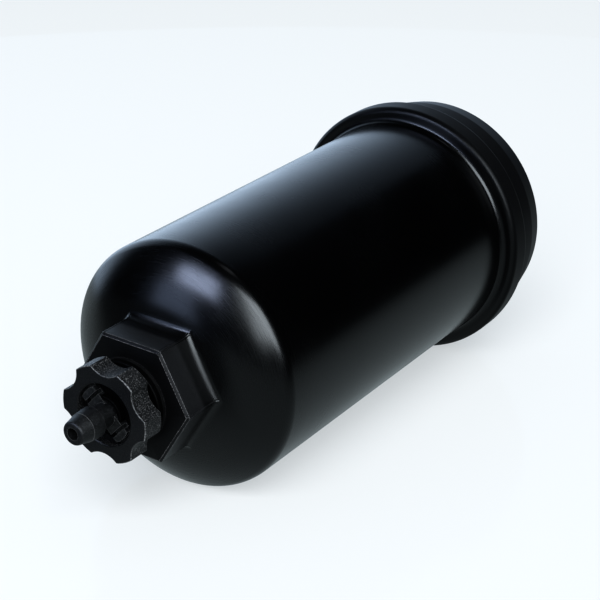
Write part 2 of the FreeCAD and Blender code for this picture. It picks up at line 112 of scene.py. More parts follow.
# ---- hand wheel ----
WHEEL_FRONT = -12.9
WHEEL_BACK = -5.6
WHEEL_R = 15.0
WHEEL_ROOT_R = 12.6
LOBES = 6
LOBE_CLOCK = math.radians(-5.0)
LOBE_HALF_TOP = math.radians(12.0)
LOBE_BLEND = 0.35
LOBE_FINE_STEP = math.radians(0.45)
WHEEL_RIM_R = 0.35
WHEEL_BORE_R = 9.5
WHEEL_BORE_CHAMFER = 0.35
WHEEL_THREAD_R = 8.3
HOOK_GROOVE_R = 10.2
HOOK_GROOVE_FRONT = -11.3
HOOK_GROOVE_BACK = -9.8

# ---- wear and painted edge highlights: the roundings that show them, how far they reach past them, how blunt a chamfer's edge is ----
WEAR_AND_GLINT_BELOW_R = 0.7
EDGE_LINE = 0.09
EDGE_DULLING = 0.02

# ---- spring and pleats ----
SPRING_MEAN_R = 13.5
SPRING_WIRE_R = 0.9
SPRING_FOOT = 15.1
SPRING_HEAD = 33.9
SPRING_GROUND_OFF = 0.35
SPRING_DEAD_TURNS = 0.9
SPRING_LIVE_TURNS = 3.2
MEDIA_START = 39.6
MEDIA_END = 149.4
PLEATS = 44
PLEAT_INNER_R = 15.1
PLEAT_OUTER_R = 28.1
PLEAT_SHEET = 0.5
OUTER_FOLD_DROP = 0.55
INNER_FOLD_DROP = 0.35
# Shares of the distance from one pleat to the next.
OUTER_FOLD_HALF = 0.10
INNER_FOLD_HALF = 0.16
FLANK_DOWN = 0.26
FLANK_UP = 0.74
PLEAT_LEAN = 0.10
FLANK_LEAN = 0.6 * PLEAT_LEAN


# ---------------------------------------------------------------- geometry helpers
MERGE_DISTANCE = 1e-6


def place(radius, station, turn):
    """The row-frame point at a radius and station in mm, turned from +X towards +Z."""
    across = radius * math.cos(turn) * MM
    up = radius * math.sin(turn) * MM
    return Vector((across, STATION_ZERO_Y + station * MM, AXIS_Z + up))


def arc(centre, radius, first, last, steps):
    """Profile points on an arc; angles run from outwards (0) towards the drain end."""
    points = []
    for i in range(steps + 1):
        angle = first + (last - first) * i / steps
        points.append((
            centre[0] + radius * math.cos(angle),
            centre[1] - radius * math.sin(angle),
            0.0,
        ))
    return points


def rounded(corners, steps):
    """A profile through (radius, station[, rounding]) corners; small roundings carry wear and a painted
    highlight at their middle.
    """
    points = []
    for i, corner in enumerate(corners):
        here = Vector(corner[:2])
        if len(corner) == 2:
            points.append((here.x, here.y, 0.0))
            continue
        back = (Vector(corners[i - 1][:2]) - here).normalized()
        ahead = (Vector(corners[(i + 1) % len(corners)][:2]) - here).normalized()
        half = back.angle(ahead) / 2
        reach = corner[2] / math.tan(half)
        centre = here + (back + ahead).normalized() * (corner[2] / math.sin(half))
        start = here + back * reach - centre
        end = here + ahead * reach - centre
        sweep = start.angle_signed(end)
        wear_and_glint_peak = 1.0 if corner[2] < WEAR_AND_GLINT_BELOW_R else 0.0
        before = centre + start + back * EDGE_LINE
        after = centre + end + ahead * EDGE_LINE
        points.append((before.x, before.y, 0.0))
        for k in range(steps + 1):
            spoke = Matrix.Rotation(-sweep * k / steps, 2) @ start
            mark = wear_and_glint_peak * math.sin(math.pi * k / steps)
            points.append((centre.x + spoke.x, centre.y + spoke.y, mark))
        points.append((after.x, after.y, 0.0))
    return points


def divisions(points, longest):
    """How many pieces each stretch of a profile needs so that none is longer than a limit."""
    counts = []
    for i, point in enumerate(points):
        following = points[(i + 1) % len(points)]
        length = math.hypot(following[0] - point[0], following[1] - point[1])
        counts.append(math.ceil(length / longest))
    return counts


def spread(points, counts):
    """The profile with each stretch divided evenly into its count of pieces."""
    out = []
    for i, point in enumerate(points):
        out.append(point)
        following = points[(i + 1) % len(points)]
        for k in range(1, counts[i]):
            share = k / counts[i]
            out.append((
                point[0] + (following[0] - point[0]) * share,
                point[1] + (following[1] - point[1]) * share,
                0.0,
            ))
    return out


def finish_mesh(name, verts, faces, wear_and_glint=None, sharp_deg=28.0):
    """An object from a mesh, smooth except across sharp edges, with its wear and painted edge highlights as
    an attribute.
    """
    mesh = bpy.data.meshes.new(name)
    mesh.from_pydata(verts, [], faces)
    if wear_and_glint:
        layer = mesh.attributes.new("wear_and_glint", "FLOAT", "POINT")
        layer.data.foreach_set("value", wear_and_glint)
    work = bmesh.new()
    work.from_mesh(mesh)
    bmesh.ops.remove_doubles(work, verts=work.verts, dist=MERGE_DISTANCE)
    bmesh.ops.recalc_face_normals(work, faces=work.faces)
    work.to_mesh(mesh)
    work.free()
    mesh.shade_smooth()
    mesh.set_sharp_from_angle(angle=math.radians(sharp_deg))
    obj = bpy.data.objects.new(name, mesh)
    bpy.context.scene.collection.objects.link(obj)
    return obj


def lathe(name, turns, loop_at):
    """A closed solid made by carrying a closed profile round the axis; it may vary with the turn."""
    verts = []
    wear_and_glint = []
    for turn in turns:
        loop = loop_at(turn)
        verts += [place(r, s, turn) for r, s, _ in loop]
        wear_and_glint += [mark for _, _, mark in loop]
    count = len(loop)
    faces = []
    for i in range(len(turns)):
        ahead = (i + 1) % len(turns)
        for j in range(count):
            k = (j + 1) % count
            faces.append((i * count + j, i * count + k, ahead * count + k, ahead * count + j))
    return finish_mesh(name, verts, faces, wear_and_glint)


def even_turns(count):
    return [2 * math.pi * i / count for i in range(count)]


def clustered_turns(sectors, per_sector, first):
    """Turns that crowd together at the start of each sector, where a corner is."""
    turns = []
    for sector in range(sectors):
        for i in range(per_sector):
            t = i / per_sector
            t -= 0.9 * math.sin(2 * math.pi * t) / (2 * math.pi)
            turns.append(first + 2 * math.pi * (sector + t) / sectors)
    return turns


# ---------------------------------------------------------------- canister
def hexagon_reach(apothem, turn):
    """The distance from the axis to a round-cornered hexagon's edge."""
    off_corner = (turn - HEX_CLOCK) % (math.pi / 3)
    off_flat = math.pi / 6 - min(off_corner, math.pi / 3 - off_corner)
    straight = apothem / math.cos(off_flat)
    inner_corner = (apothem - HEX_CORNER_R) / math.cos(math.pi / 6)
    off_middle = math.pi / 6 - off_flat
    across = inner_corner * math.sin(off_middle)
    if across >= HEX_CORNER_R:
        return straight
    along = inner_corner * math.cos(off_middle)
    return min(straight, along + math.sqrt(HEX_CORNER_R ** 2 - across ** 2))


def dome_arcs(inset):
    """Centres and radii of the knuckle and of the wide arc beside it, moved inwards."""
    knuckle_r = KNUCKLE_R - inset
    knuckle = (BODY_R - KNUCKLE_R, KNUCKLE_STATION)
    crown = CROWN_STATION + inset
    end_r = knuckle[0] + knuckle_r * math.cos(KNUCKLE_TURN)
    end_s = knuckle[1] - knuckle_r * math.sin(KNUCKLE_TURN)
    wide_r = (end_s - crown) / (1 - math.sin(KNUCKLE_TURN))
    wide = (end_r - wide_r * math.cos(KNUCKLE_TURN), crown + wide_r)
    return knuckle, knuckle_r, wide, wide_r


def thread_point(station, turn):
    """Radius of the mouth's screw thread: wide flat roots, sloping flanks and narrow crests."""
    phase = ((station - THREAD_START) / THREAD_PITCH - turn / (2 * math.pi)) % 1.0
    off_crest = 0.5 - abs(phase - 0.5)
    height = min(1.0, THREAD_FLANK_SLOPE * off_crest)
    run_in = max(0.0, min(1.0, (station - THREAD_START) / THREAD_PITCH))
    return THREAD_R + THREAD_DEPTH * height * run_in


def mouth_profile():
    """Outside of the mouth from the collar's root to the rim, the same all round."""
    corners = rounded([
        (BODY_R, PLAIN_WALL_END),
        (BODY_R, COLLAR_FRONT, COLLAR_EDGE_R),
        (COLLAR_R, COLLAR_FRONT, COLLAR_EDGE_R),
        (COLLAR_R, COLLAR_BACK, 1.5),
        (GROOVE_R, COLLAR_BACK, 0.2),
        (GROOVE_R, LAND_FRONT, 0.2),
        (LAND_R, LAND_FRONT, 0.3),
        (LAND_R, LAND_BACK, 3.0),
        (MOUTH_R, MOUTH_STATION, 0.6),
        (THREAD_R + MOUTH_CHAMFER, MOUTH_STATION),
    ], steps=7)
    return corners[1:-1]


def canister_loop(turn):
    """The canister's section at one turn: outside from the drain hole to the rim, then inside."""
    reach = hexagon_reach(HEX_APOTHEM, turn)
    knuckle, knuckle_r, wide, wide_r = dome_arcs(0.0)
    rise = math.sqrt((wide_r + HEX_FILLET) ** 2 - (reach + HEX_FILLET - wide[0]) ** 2)
    root = (reach + HEX_FILLET, wide[1] - rise)
    lean = math.atan2(rise, reach + HEX_FILLET - wide[0])
    face_edge = hexagon_reach(HEX_APOTHEM - HEX_CHAMFER, turn)
    outside = [
        (DRAIN_HOLE_R, CROWN_STATION + WALL, 0.0),
        (DRAIN_HOLE_R, HEX_FACE + DRAIN_HOLE_CHAMFER, 0.0),
        (DRAIN_HOLE_R + DRAIN_HOLE_CHAMFER, HEX_FACE, 1.0),
        (HEX_FACE_RING_R, HEX_FACE, 0.0),
        (face_edge - EDGE_LINE, HEX_FACE, 0.0),
        (face_edge, HEX_FACE + EDGE_DULLING, 1.0),
        (face_edge + EDGE_LINE, HEX_FACE + EDGE_LINE, 0.0),
        (reach - EDGE_LINE, HEX_FACE + HEX_CHAMFER - EDGE_LINE, 0.0),
        (reach - EDGE_DULLING, HEX_FACE + HEX_CHAMFER, 1.0),
        (reach, HEX_FACE + HEX_CHAMFER + EDGE_LINE, 0.0),
    ]
    for share in (0.2, 0.4, 0.6, 0.8):
        outside.append((reach, HEX_FACE + (root[1] - HEX_FACE) * share, 0.0))
    outside += arc(root, HEX_FILLET, math.pi, math.pi + lean, 8)
    outside += arc(wide, wide_r, lean, KNUCKLE_TURN, 26)[1:]
    outside += arc(knuckle, knuckle_r, KNUCKLE_TURN, 0.0, 16)[1:]
    wall_rows = 12
    for i in range(1, wall_rows):
        station = KNUCKLE_STATION + (PLAIN_WALL_END - KNUCKLE_STATION) * i / wall_rows
        outside.append((BODY_R, station, 0.0))
    outside += MOUTH_PROFILE
    inside = [(THREAD_R + MOUTH_CHAMFER, MOUTH_STATION, 1.0)]
    thread_rows = 110
    thread_end = MOUTH_STATION - MOUTH_CHAMFER
    for i in range(thread_rows + 1):
        station = thread_end - (thread_end - THREAD_START) * i / thread_rows
        inside.append((thread_point(station, turn), station, 0.0))
    bore_r = BODY_R - WALL
    step = THREAD_START - THREAD_STEP_BACK
    inside += [(THREAD_R, step, 0.0), (bore_r, step, 0.0)]
    knuckle, knuckle_r, wide, wide_r = dome_arcs(WALL)
    bore_rows = 8
    for i in range(1, bore_rows):
        station = THREAD_START - (THREAD_START - KNUCKLE_STATION) * i / bore_rows
        inside.append((bore_r, station, 0.0))
    inside += arc(knuckle, knuckle_r, 0.0, KNUCKLE_TURN, 8)
    inside += arc(wide, wide_r, KNUCKLE_TURN, math.pi / 2, 14)[1:]
    return outside + inside


MOUTH_PROFILE = mouth_profile()


def canister():
    obj = lathe("canister", clustered_turns(6, 44, HEX_CLOCK), canister_loop)
    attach(obj, "bowl")
    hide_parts("bowl")
    obj.data.materials.append(coated_metal())


# ---------------------------------------------------------------- hand wheel
def wheel_reach(turn):
    """The distance from the axis to the wheel's edge: flat-topped lobes and round scallops."""
    pitch = 2 * math.pi / LOBES
    off_lobe = (turn - LOBE_CLOCK + pitch / 2) % pitch - pitch / 2
    off_scallop = pitch / 2 - abs(off_lobe)
    edge = pitch / 2 - LOBE_HALF_TOP
    top = (WHEEL_R * math.cos(edge), WHEEL_R * math.sin(edge))
    centre = (WHEEL_R ** 2 - WHEEL_ROOT_R ** 2) / (2 * (top[0] - WHEEL_ROOT_R))
    radius = centre - WHEEL_ROOT_R
    inside = radius ** 2 - (centre * math.sin(off_scallop)) ** 2
    scallop = centre * math.cos(off_scallop) - math.sqrt(inside) if inside > 0 else math.inf
    share = max(0.0, min(1.0, 0.5 + (scallop - WHEEL_R) / (2 * LOBE_BLEND)))
    if share in (0.0, 1.0):
        return min(scallop, WHEEL_R)
    return scallop + (WHEEL_R - scallop) * share - LOBE_BLEND * share * (1 - share)


def wheel_profile(reach):
    """The wheel's section where its edge is at a given reach."""
    return rounded([
        (WHEEL_BORE_R + WHEEL_BORE_CHAMFER, WHEEL_FRONT),
        (reach, WHEEL_FRONT, WHEEL_RIM_R),
        (reach, WHEEL_BACK, WHEEL_RIM_R),
        (WHEEL_THREAD_R, WHEEL_BACK),
        (WHEEL_THREAD_R, HOOK_GROOVE_BACK),
        (HOOK_GROOVE_R, HOOK_GROOVE_BACK),
        (HOOK_GROOVE_R, HOOK_GROOVE_FRONT),
        (WHEEL_BORE_R, HOOK_GROOVE_FRONT),
        (WHEEL_BORE_R, WHEEL_FRONT + WHEEL_BORE_CHAMFER),
    ], steps=5)


WHEEL_DIVISIONS = divisions(wheel_profile(WHEEL_R), 1.6)


def wheel_loop(turn):
    """The wheel's section at one turn, with more wear and painted highlight on its lobes than on its
    scallops.
    """
    reach = wheel_reach(turn)
    crest = max(0.0, (reach - WHEEL_ROOT_R) / (WHEEL_R - WHEEL_ROOT_R))
    section = [(r, s, mark * (0.45 + 0.55 * crest)) for r, s, mark in wheel_profile(reach)]
    return spread(section, WHEEL_DIVISIONS)


def clustered_lobe_turns():
    """Even turns with a few more where a lobe's flat top meets a scallop."""
    turns = set(round(t, 6) for t in even_turns(240))
    for lobe in range(LOBES):
        for side in (-1, 1):
            middle = LOBE_CLOCK + 2 * math.pi * lobe / LOBES + side * LOBE_HALF_TOP
            for step in range(-5, 6):
                turns.add(round((middle + LOBE_FINE_STEP * step) % (2 * math.pi), 6))
    return sorted(turns)


def hand_wheel():
    obj = lathe("hand_wheel", clustered_lobe_turns(), wheel_loop)
    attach(obj, "drain_wheel")
    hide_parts("drain_wheel")
    obj.data.materials.append(moulded_plastic("grained_plastic", coarse=True))


# ---------------------------------------------------------------- inside
def coil_spring():
    """A compression spring with closed and ground ends."""
    around_wire = 14
    steps = 260
    dead = SPRING_DEAD_TURNS
    live = SPRING_LIVE_TURNS
    wire_d = 2 * SPRING_WIRE_R
    height = SPRING_HEAD - SPRING_FOOT - wire_d
    total = dead * 2 + live
    lowest = SPRING_FOOT + SPRING_GROUND_OFF
    highest = SPRING_HEAD - SPRING_GROUND_OFF
    verts = []
    faces = []
    for i in range(steps + 1):
        t = total * i / steps
        low = min(t, dead) * wire_d
        high = max(0.0, t - dead - live) * wire_d
        middle = max(0.0, min(1.0, (t - dead) / live))
        ease = middle - math.sin(2 * math.pi * middle) / (2 * math.pi) * 0.6
        climb = low + high + ease * (height - 2 * dead * wire_d)
        station = SPRING_FOOT + SPRING_WIRE_R + climb
        turn = 2 * math.pi * t
        for k in range(around_wire):
            spin = 2 * math.pi * k / around_wire
            radius = SPRING_MEAN_R + SPRING_WIRE_R * math.cos(spin)
            level = station + SPRING_WIRE_R * math.sin(spin)
            verts.append(place(radius, max(lowest, min(highest, level)), turn))
    for i in range(steps):
        for k in range(around_wire):
            j = (k + 1) % around_wire
            a = i * around_wire
            faces.append((a + k, a + j, a + around_wire + j, a + around_wire + k))
    faces.append(tuple(range(around_wire)))
    faces.append(tuple(steps * around_wire + k for k in range(around_wire)))
    obj = finish_mesh("coil_spring", verts, faces)
    obj.data.materials.append(spring_steel())
    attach(obj, "bowl")
    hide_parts("cartridge_spring")
    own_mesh(obj)


def pleat_line(wobble):
    """Middle line of the folded sheet in one plane, as (radius, turn) round the axis."""
    points = []
    pitch = 2 * math.pi / PLEATS
    flank = 0.5 * (PLEAT_INNER_R + PLEAT_OUTER_R)
    for pleat in range(PLEATS):
        here = wobble[pleat] * pitch
        ahead = wobble[(pleat + 1) % PLEATS] * pitch
        for share in (-1.0, -0.5, 0.0, 0.5, 1.0):
            radius = PLEAT_OUTER_R - OUTER_FOLD_DROP * share * share
            points.append((radius, pitch * (pleat + OUTER_FOLD_HALF * share) + here * PLEAT_LEAN))
        points.append((flank, pitch * (pleat + FLANK_DOWN) + here * FLANK_LEAN))
        for share in (-1, 0, 1):
            radius = PLEAT_INNER_R + INNER_FOLD_DROP * share * share
            points.append((radius, pitch * (pleat + 0.5 + INNER_FOLD_HALF * share)))
        points.append((flank, pitch * (pleat + FLANK_UP) + ahead * FLANK_LEAN))
    return points


def pleats():
    """The folded filter sheet: round folds, each leaning a little its own way."""
    draw = random.Random(5)
    wobble = [draw.uniform(-1, 1) for _ in range(PLEATS)]
    drift = [draw.uniform(-1, 1) for _ in range(PLEATS)]
    rows = 26
    verts = []
    for row in range(rows + 1):
        along = row / rows
        station = MEDIA_START + (MEDIA_END - MEDIA_START) * along
        sag = math.sin(math.pi * along)
        mixed = [w * sag + d * sag * math.sin(2 * math.pi * along) for w, d in zip(wobble, drift)]
        line = [Vector((r * math.cos(t), r * math.sin(t))) for r, t in pleat_line(mixed)]
        count = len(line)
        outer = []
        inner = []
        for i, point in enumerate(line):
            ahead = (line[(i + 1) % count] - line[i - 1]).normalized()
            side = Vector((ahead.y, -ahead.x)) * PLEAT_SHEET / 2
            outer.append(point + side)
            inner.append(point - side)
        for point in outer + inner:
            verts.append(place(point.length, station, math.atan2(point.y, point.x)))
    faces = []
    ring = 2 * count
    for row in range(rows):
        for half in (0, count):
            for i in range(count):
                a = row * ring + half + i
                b = row * ring + half + (i + 1) % count
                faces.append((a, b, b + ring, a + ring))
    for base in (0, rows * ring):
        for i in range(count):
            k = (i + 1) % count
            faces.append((base + i, base + k, base + count + k, base + count + i))
    obj = finish_mesh("pleats", verts, faces, sharp_deg=70.0)
    obj.data.materials.append(filter_paper())
    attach(obj, "cartridge")
    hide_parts("pleated_media")


# ---------------------------------------------------------------- materials
HEXAGON_END = STATION_ZERO_Y + 8.0 * MM
FILLET_END = STATION_ZERO_Y + 13.0 * MM
FILLET_FULL_R = 19.0 * MM
FILLET_GONE_R = 22.5 * MM
DOME_END = STATION_ZERO_Y + KNUCKLE_STATION * MM
COLLAR_Y = STATION_ZERO_Y + (COLLAR_FRONT - 0.6) * MM
HEXAGON_COLOUR = (0.016, 0.017, 0.019)
COLLAR_SHEEN_COLOUR = (0.0058, 0.0062, 0.0070)
BARE_METAL_AND_GLINT_COLOUR = (0.30, 0.30, 0.31)


def smooth_ramp(tree, value, low, high, start, end):
    """A node that eases from start to end while the value goes from low to high."""
    made = tree.nodes.new("ShaderNodeMapRange")
    made.interpolation_type = "SMOOTHSTEP"
    tree.links.new(value, made.inputs[0])
    for index, number in enumerate((low, high, start, end), 1):
        made.inputs[index].default_value = number
    return made.outputs[0]


class Look:
    """A node material being put together round one Principled shader."""

    def __init__(self, name, **sockets):
        self.material = bpy.data.materials.new(name)
        self.material.use_nodes = True
        self.tree = self.material.node_tree
        self.shader = self.tree.nodes["Principled BSDF"]
        for socket, value in sockets.items():
            self.shader.inputs[socket.replace("_", " ")].default_value = value
        coordinates = self.tree.nodes.new("ShaderNodeTexCoord")
        self.place = coordinates.outputs["Object"]
        self.height = None

    def node(self, kind, settings=(), **inputs):
        """A new node; inputs are values or other nodes' outputs."""
        made = self.tree.nodes.new("ShaderNode" + kind)
        for key, value in dict(settings).items():
            setattr(made, key, value)
        for key, value in inputs.items():
            socket = made.inputs[int(key[1:])] if key[1:].isdigit() else made.inputs[key]
            if isinstance(value, bpy.types.NodeSocket):
                self.tree.links.new(value, socket)
            else:
                socket.default_value = value
        return made

    def math(self, operation, a, b=0.0):
        return self.node("Math", {"operation": operation}, _0=a, _1=b).outputs[0]

    def noise(self, scale, detail, vector=None):
        vector = vector or self.place
        return self.node("TexNoise", Vector=vector, Scale=scale, Detail=detail).outputs["Fac"]

    def ramp(self, value, low, high, start=0.0, end=1.0):
        return smooth_ramp(self.tree, value, low, high, start, end)

    def blend(self, share, first, second):
        """The first colour where the share is 0 and the second where it is 1."""
        made = self.node("Mix", {"data_type": "RGBA"}, _0=share)
        for index, colour in ((6, first), (7, second)):
            if isinstance(colour, bpy.types.NodeSocket):
                self.tree.links.new(colour, made.inputs[index])
            else:
                made.inputs[index].default_value = (*colour, 1.0)
        return made.outputs[2]

    def wear_and_glint(self):
        """The wear and painted edge highlights that the mesh carries: 1 along its marked edges."""
        return self.node("Attribute", {"attribute_name": "wear_and_glint"}).outputs["Fac"]

    def bump(self, height, strength, depth_mm):
        """Adds a layer of relief on top of those before it."""
        made = self.node("Bump", Strength=strength, Distance=depth_mm * MM, Height=height)
        if self.height:
            self.tree.links.new(self.height, made.inputs["Normal"])
        self.height = made.outputs["Normal"]

    def done(self, colour=None, roughness=None):
        """Links up what was made, and gives back the material."""
        for value, socket in ((colour, "Base Color"), (roughness, "Roughness")):
            if value is not None:
                self.tree.links.new(value, self.shader.inputs[socket])
        if self.height:
            self.tree.links.new(self.height, self.shader.inputs["Normal"])
        return self.material

    def polar(self):
        """(radius, turn, distance along) for the canister's axis, in metres and radians."""
        split = self.node("SeparateXYZ", Vector=self.place)
        up = self.math("SUBTRACT", split.outputs["Z"], AXIS_Z)
        across = split.outputs["X"]
        across_squared = self.math("MULTIPLY", across, across)
        squares = self.math("ADD", across_squared, self.math("MULTIPLY", up, up))
        return self.math("SQRT", squares), self.math("ARCTAN2", up, across), split.outputs["Y"]

    def edges(self, reach_mm):
        """1 along sharp edges, for a CAD node that has no mesh attribute of wear and edge highlights."""
        rounded_normal = self.node("Bevel", Radius=reach_mm * MM).outputs["Normal"]
        normal = self.node("NewGeometry").outputs["Normal"]
        same = self.node("VectorMath", {"operation": "DOT_PRODUCT"}, _0=rounded_normal, _1=normal)
        return self.ramp(same.outputs["Value"], 0.80, 0.97, 1.0, 0.0)

    def facing_along_axis(self):
        """1 on faces square to the canister's axis, 0 on faces along it."""
        normal = self.node("TexCoord").outputs["Normal"]
        along = self.node("SeparateXYZ", Vector=normal).outputs["Y"]
        return self.math("ABSOLUTE", along)

    def spun(self, radius_scale, turn_scale):
        """Coordinates stretched round the axis, for marks left by spinning or turning."""
        radius, turn, along = self.polar()
        lengthwise = self.math("ADD", radius, along)
        sideways = self.math("SUBTRACT", radius, along)
        return self.node(
            "CombineXYZ",
            X=self.math("MULTIPLY", lengthwise, radius_scale),
            Y=self.math("MULTIPLY", sideways, radius_scale),
            Z=self.math("MULTIPLY", turn, turn_scale),
        ).outputs[0]


def coated_metal():
    """Satin black coat on drawn metal: orange peel, faint spinning marks, and edges both scuffed and
    painted with highlights.

    The collar and the hexagon's front are duller than the rest; the hexagon's front also has painted shade
    from the wheel, and the collar's outer band a painted sheen.
    """
    look = Look("satin_black_coat", Specular_IOR_Level=0.5, Roughness=0.3)
    radius, _, along = look.polar()
    facing = look.facing_along_axis()
    peel = look.noise(1400.0, 2.0)
    dome = look.ramp(along, DOME_END, DOME_END + 8 * MM, 1.0, 0.3)
    spin = look.math("SUBTRACT", look.noise(1.0, 4.0, look.spun(2400.0, 5.0)), 0.5)
    spin = look.math("ADD", look.math("MULTIPLY", spin, dome), 0.5)
    cloud = look.noise(38.0, 4.0)
    grit = look.noise(5200.0, 1.0)
    # Edge marks from the mesh: partly wear, partly painted highlights along the edges.
    wear_and_glint = look.math("MULTIPLY", look.wear_and_glint(), look.ramp(grit, 0.42, 0.62))
    hexagon = look.ramp(along, HEXAGON_END - 2 * MM, HEXAGON_END, 1.0, 0.0)
    collar = look.ramp(along, COLLAR_Y, COLLAR_Y + 1.6 * MM)
    fillet = look.math(
        "MULTIPLY",
        look.ramp(radius, FILLET_FULL_R, FILLET_GONE_R, 1.0, 0.0),
        look.ramp(along, FILLET_END - 2 * MM, FILLET_END, 1.0, 0.0),
    )

    rough = look.ramp(cloud, 0.3, 0.7, 0.14, 0.20)
    for mark, weight in ((spin, 0.16), (wear_and_glint, 0.12), (fillet, 0.18), (collar, 0.2)):
        rough = look.math("ADD", rough, look.math("MULTIPLY", mark, weight))

    # Faces square to the axis keep only a quarter of the hexagon's colour: painted shade from the wheel on
    # the hexagon's front.
    sides = look.ramp(facing, 0.3, 0.9, 1.0, 0.25)
    sides = look.math("MULTIPLY", sides, look.ramp(grit, 0.35, 0.65, 0.5, 1.0))
    # Painted sheen: the collar's outer band, along the axis, is made lighter than its faces.
    rim = look.math("MULTIPLY", collar, look.ramp(facing, 0.1, 0.7, 1.0, 0.0))
    rim = look.math("MULTIPLY", rim, look.math("SUBTRACT", 1.0, wear_and_glint))
    colour = look.blend(cloud, (0.0006, 0.0007, 0.0010), (0.0014, 0.0016, 0.0020))
    colour = look.blend(look.math("MULTIPLY", hexagon, sides), colour, HEXAGON_COLOUR)
    # Lighter edges: bare metal where the coat is rubbed off, and painted edge highlights.
    colour = look.blend(look.math("MULTIPLY", wear_and_glint, 0.8), colour, BARE_METAL_AND_GLINT_COLOUR)
    colour = look.blend(rim, colour, COLLAR_SHEEN_COLOUR)

    front = look.math("MULTIPLY", hexagon, look.ramp(facing, 0.3, 0.6))
    dull = look.math("MAXIMUM", look.math("MULTIPLY", front, 0.6), look.math("MULTIPLY", collar, 0.7))
    gloss = look.math("MULTIPLY", look.math("SUBTRACT", 1.0, dull), 0.5)
    look.tree.links.new(gloss, look.shader.inputs["Specular IOR Level"])
    look.bump(peel, 0.35, 0.014)
    look.bump(spin, 0.15, 0.010)
    return look.done(colour, rough)


def moulded_plastic(name, coarse=False):
    """Black glass-filled plastic: spark-eroded grain, specks, and pale edges that are partly rubbed, partly
    painted highlights.

    The coarse kind has larger grain, darker front faces and more specks on its sides.
    """
    look = Look(name, Specular_IOR_Level=0.5, Roughness=0.55)
    grain = look.noise(1900.0 if coarse else 3000.0, 3.0)
    voronoi = look.node("TexVoronoi", {"feature": "F1"}, Vector=look.place, Scale=3000.0)
    pits = voronoi.outputs["Distance"]
    specks = look.ramp(look.noise(3000.0, 2.0), 0.55, 0.66)
    cloud = look.noise(160.0, 3.0)
    mottled = look.math("MULTIPLY", look.ramp(grain, 0.36, 0.64), look.ramp(cloud, 0.3, 0.7, 0.7, 1.0))
    colour = look.blend(mottled, (0.0010, 0.0011, 0.0014), (0.0085, 0.0092, 0.0105))
    if coarse:
        side = look.ramp(look.facing_along_axis(), 0.2, 0.8, 1.0, 0.0)
        colour = look.blend(side, (0.0016, 0.0017, 0.0020), colour)
        specks = look.math("MULTIPLY", specks, look.math("MAXIMUM", side, 0.12))
        colour = look.blend(specks, colour, (0.125, 0.129, 0.134))
        # Pale edges: partly rubbed plastic, partly painted highlights along the edges.
        rubbed_and_glint = look.math("MULTIPLY", look.wear_and_glint(), look.ramp(grain, 0.42, 0.60, 0.15, 0.85))
        colour = look.blend(rubbed_and_glint, colour, (0.19, 0.195, 0.20))
    else:
        colour = look.blend(look.math("MULTIPLY", specks, 0.5), colour, (0.035, 0.037, 0.040))
        # Pale sharp edges: partly rubbed, partly painted highlights.
        rubbed_and_glint = look.math("MULTIPLY", look.edges(0.22), 0.7)
        colour = look.blend(rubbed_and_glint, colour, (0.17, 0.175, 0.18))
    rough = look.ramp(grain, 0.3, 0.7, 0.42, 0.62)
    look.bump(grain, 0.6, 0.05 if coarse else 0.02)
    look.bump(pits, 0.3, 0.03 if coarse else 0.01)
    return look.done(colour, rough)


def rubber():
    """Dull black rubber with a slight bloom."""
    look = Look("seal_rubber_black", Specular_IOR_Level=0.25, Roughness=0.7)
    bloom = look.noise(240.0, 4.0)
    colour = look.blend(bloom, (0.0015, 0.0015, 0.0016), (0.005, 0.005, 0.005))
    look.bump(look.noise(3600.0, 2.0), 0.3, 0.02)
    return look.done(colour, look.ramp(bloom, 0.3, 0.7, 0.55, 0.8))


def spring_steel():
    """Drawn wire with fine lengthwise lines and a thin film of oil."""
    look = Look("spring_steel", Metallic=1.0, Roughness=0.3)
    lines = look.noise(1.0, 3.0, look.spun(9000.0, 14.0))
    film = look.noise(120.0, 3.0)
    colour = look.blend(film, (0.42, 0.41, 0.40), (0.58, 0.57, 0.55))
    look.bump(lines, 0.3, 0.01)
    return look.done(colour, look.ramp(film, 0.3, 0.7, 0.22, 0.4))


def plain_plastic(name, dark, light, low, high, specular=0.5):
    """Smooth moulded plastic with slight flow marks."""
    look = Look(name, Specular_IOR_Level=specular, Roughness=0.4)
    flow = look.noise(1.0, 4.0, look.spun(260.0, 2.0))
    colour = look.blend(flow, dark, light)
    look.bump(look.noise(2600.0, 2.0), 0.25, 0.01)
    return look.done(colour, look.ramp(flow, 0.3, 0.7, low, high))


def filter_paper():
    """Resin-treated paper: fibres, faint embossing and paler outer folds."""
    look = Look("filter_paper", Specular_IOR_Level=0.25, Roughness=0.85)
    fibres = look.noise(5200.0, 4.0)
    blotch = look.noise(300.0, 3.0)
    radius, _, along = look.polar()
    outwards = look.ramp(radius, PLEAT_INNER_R * MM, PLEAT_OUTER_R * MM)
    rib_pitch = 1.6 * MM
    ribs = look.math("SINE", look.math("MULTIPLY", along, 2 * math.pi / rib_pitch))
    colour = look.blend(blotch, (0.50, 0.37, 0.17), (0.66, 0.52, 0.28))
    colour = look.blend(look.math("MULTIPLY", outwards, 0.35), colour, (0.74, 0.62, 0.38))
    colour = look.blend(look.ramp(fibres, 0.35, 0.75, 0.0, 0.35), colour, (0.36, 0.26, 0.12))
    look.bump(ribs, 0.3, 0.05)
    look.bump(fibres, 0.5, 0.03)
    return look.done(colour)


def resin():
    """Poured resin, with slow waves on its surface."""
    look = Look("potting_resin", Specular_IOR_Level=0.5, Roughness=0.3)
    flow = look.noise(420.0, 4.0)
    colour = look.blend(flow, (0.42, 0.34, 0.18), (0.60, 0.50, 0.30))
    look.bump(flow, 0.4, 0.2)
    return look.done(colour, look.ramp(flow, 0.3, 0.7, 0.25, 0.45))


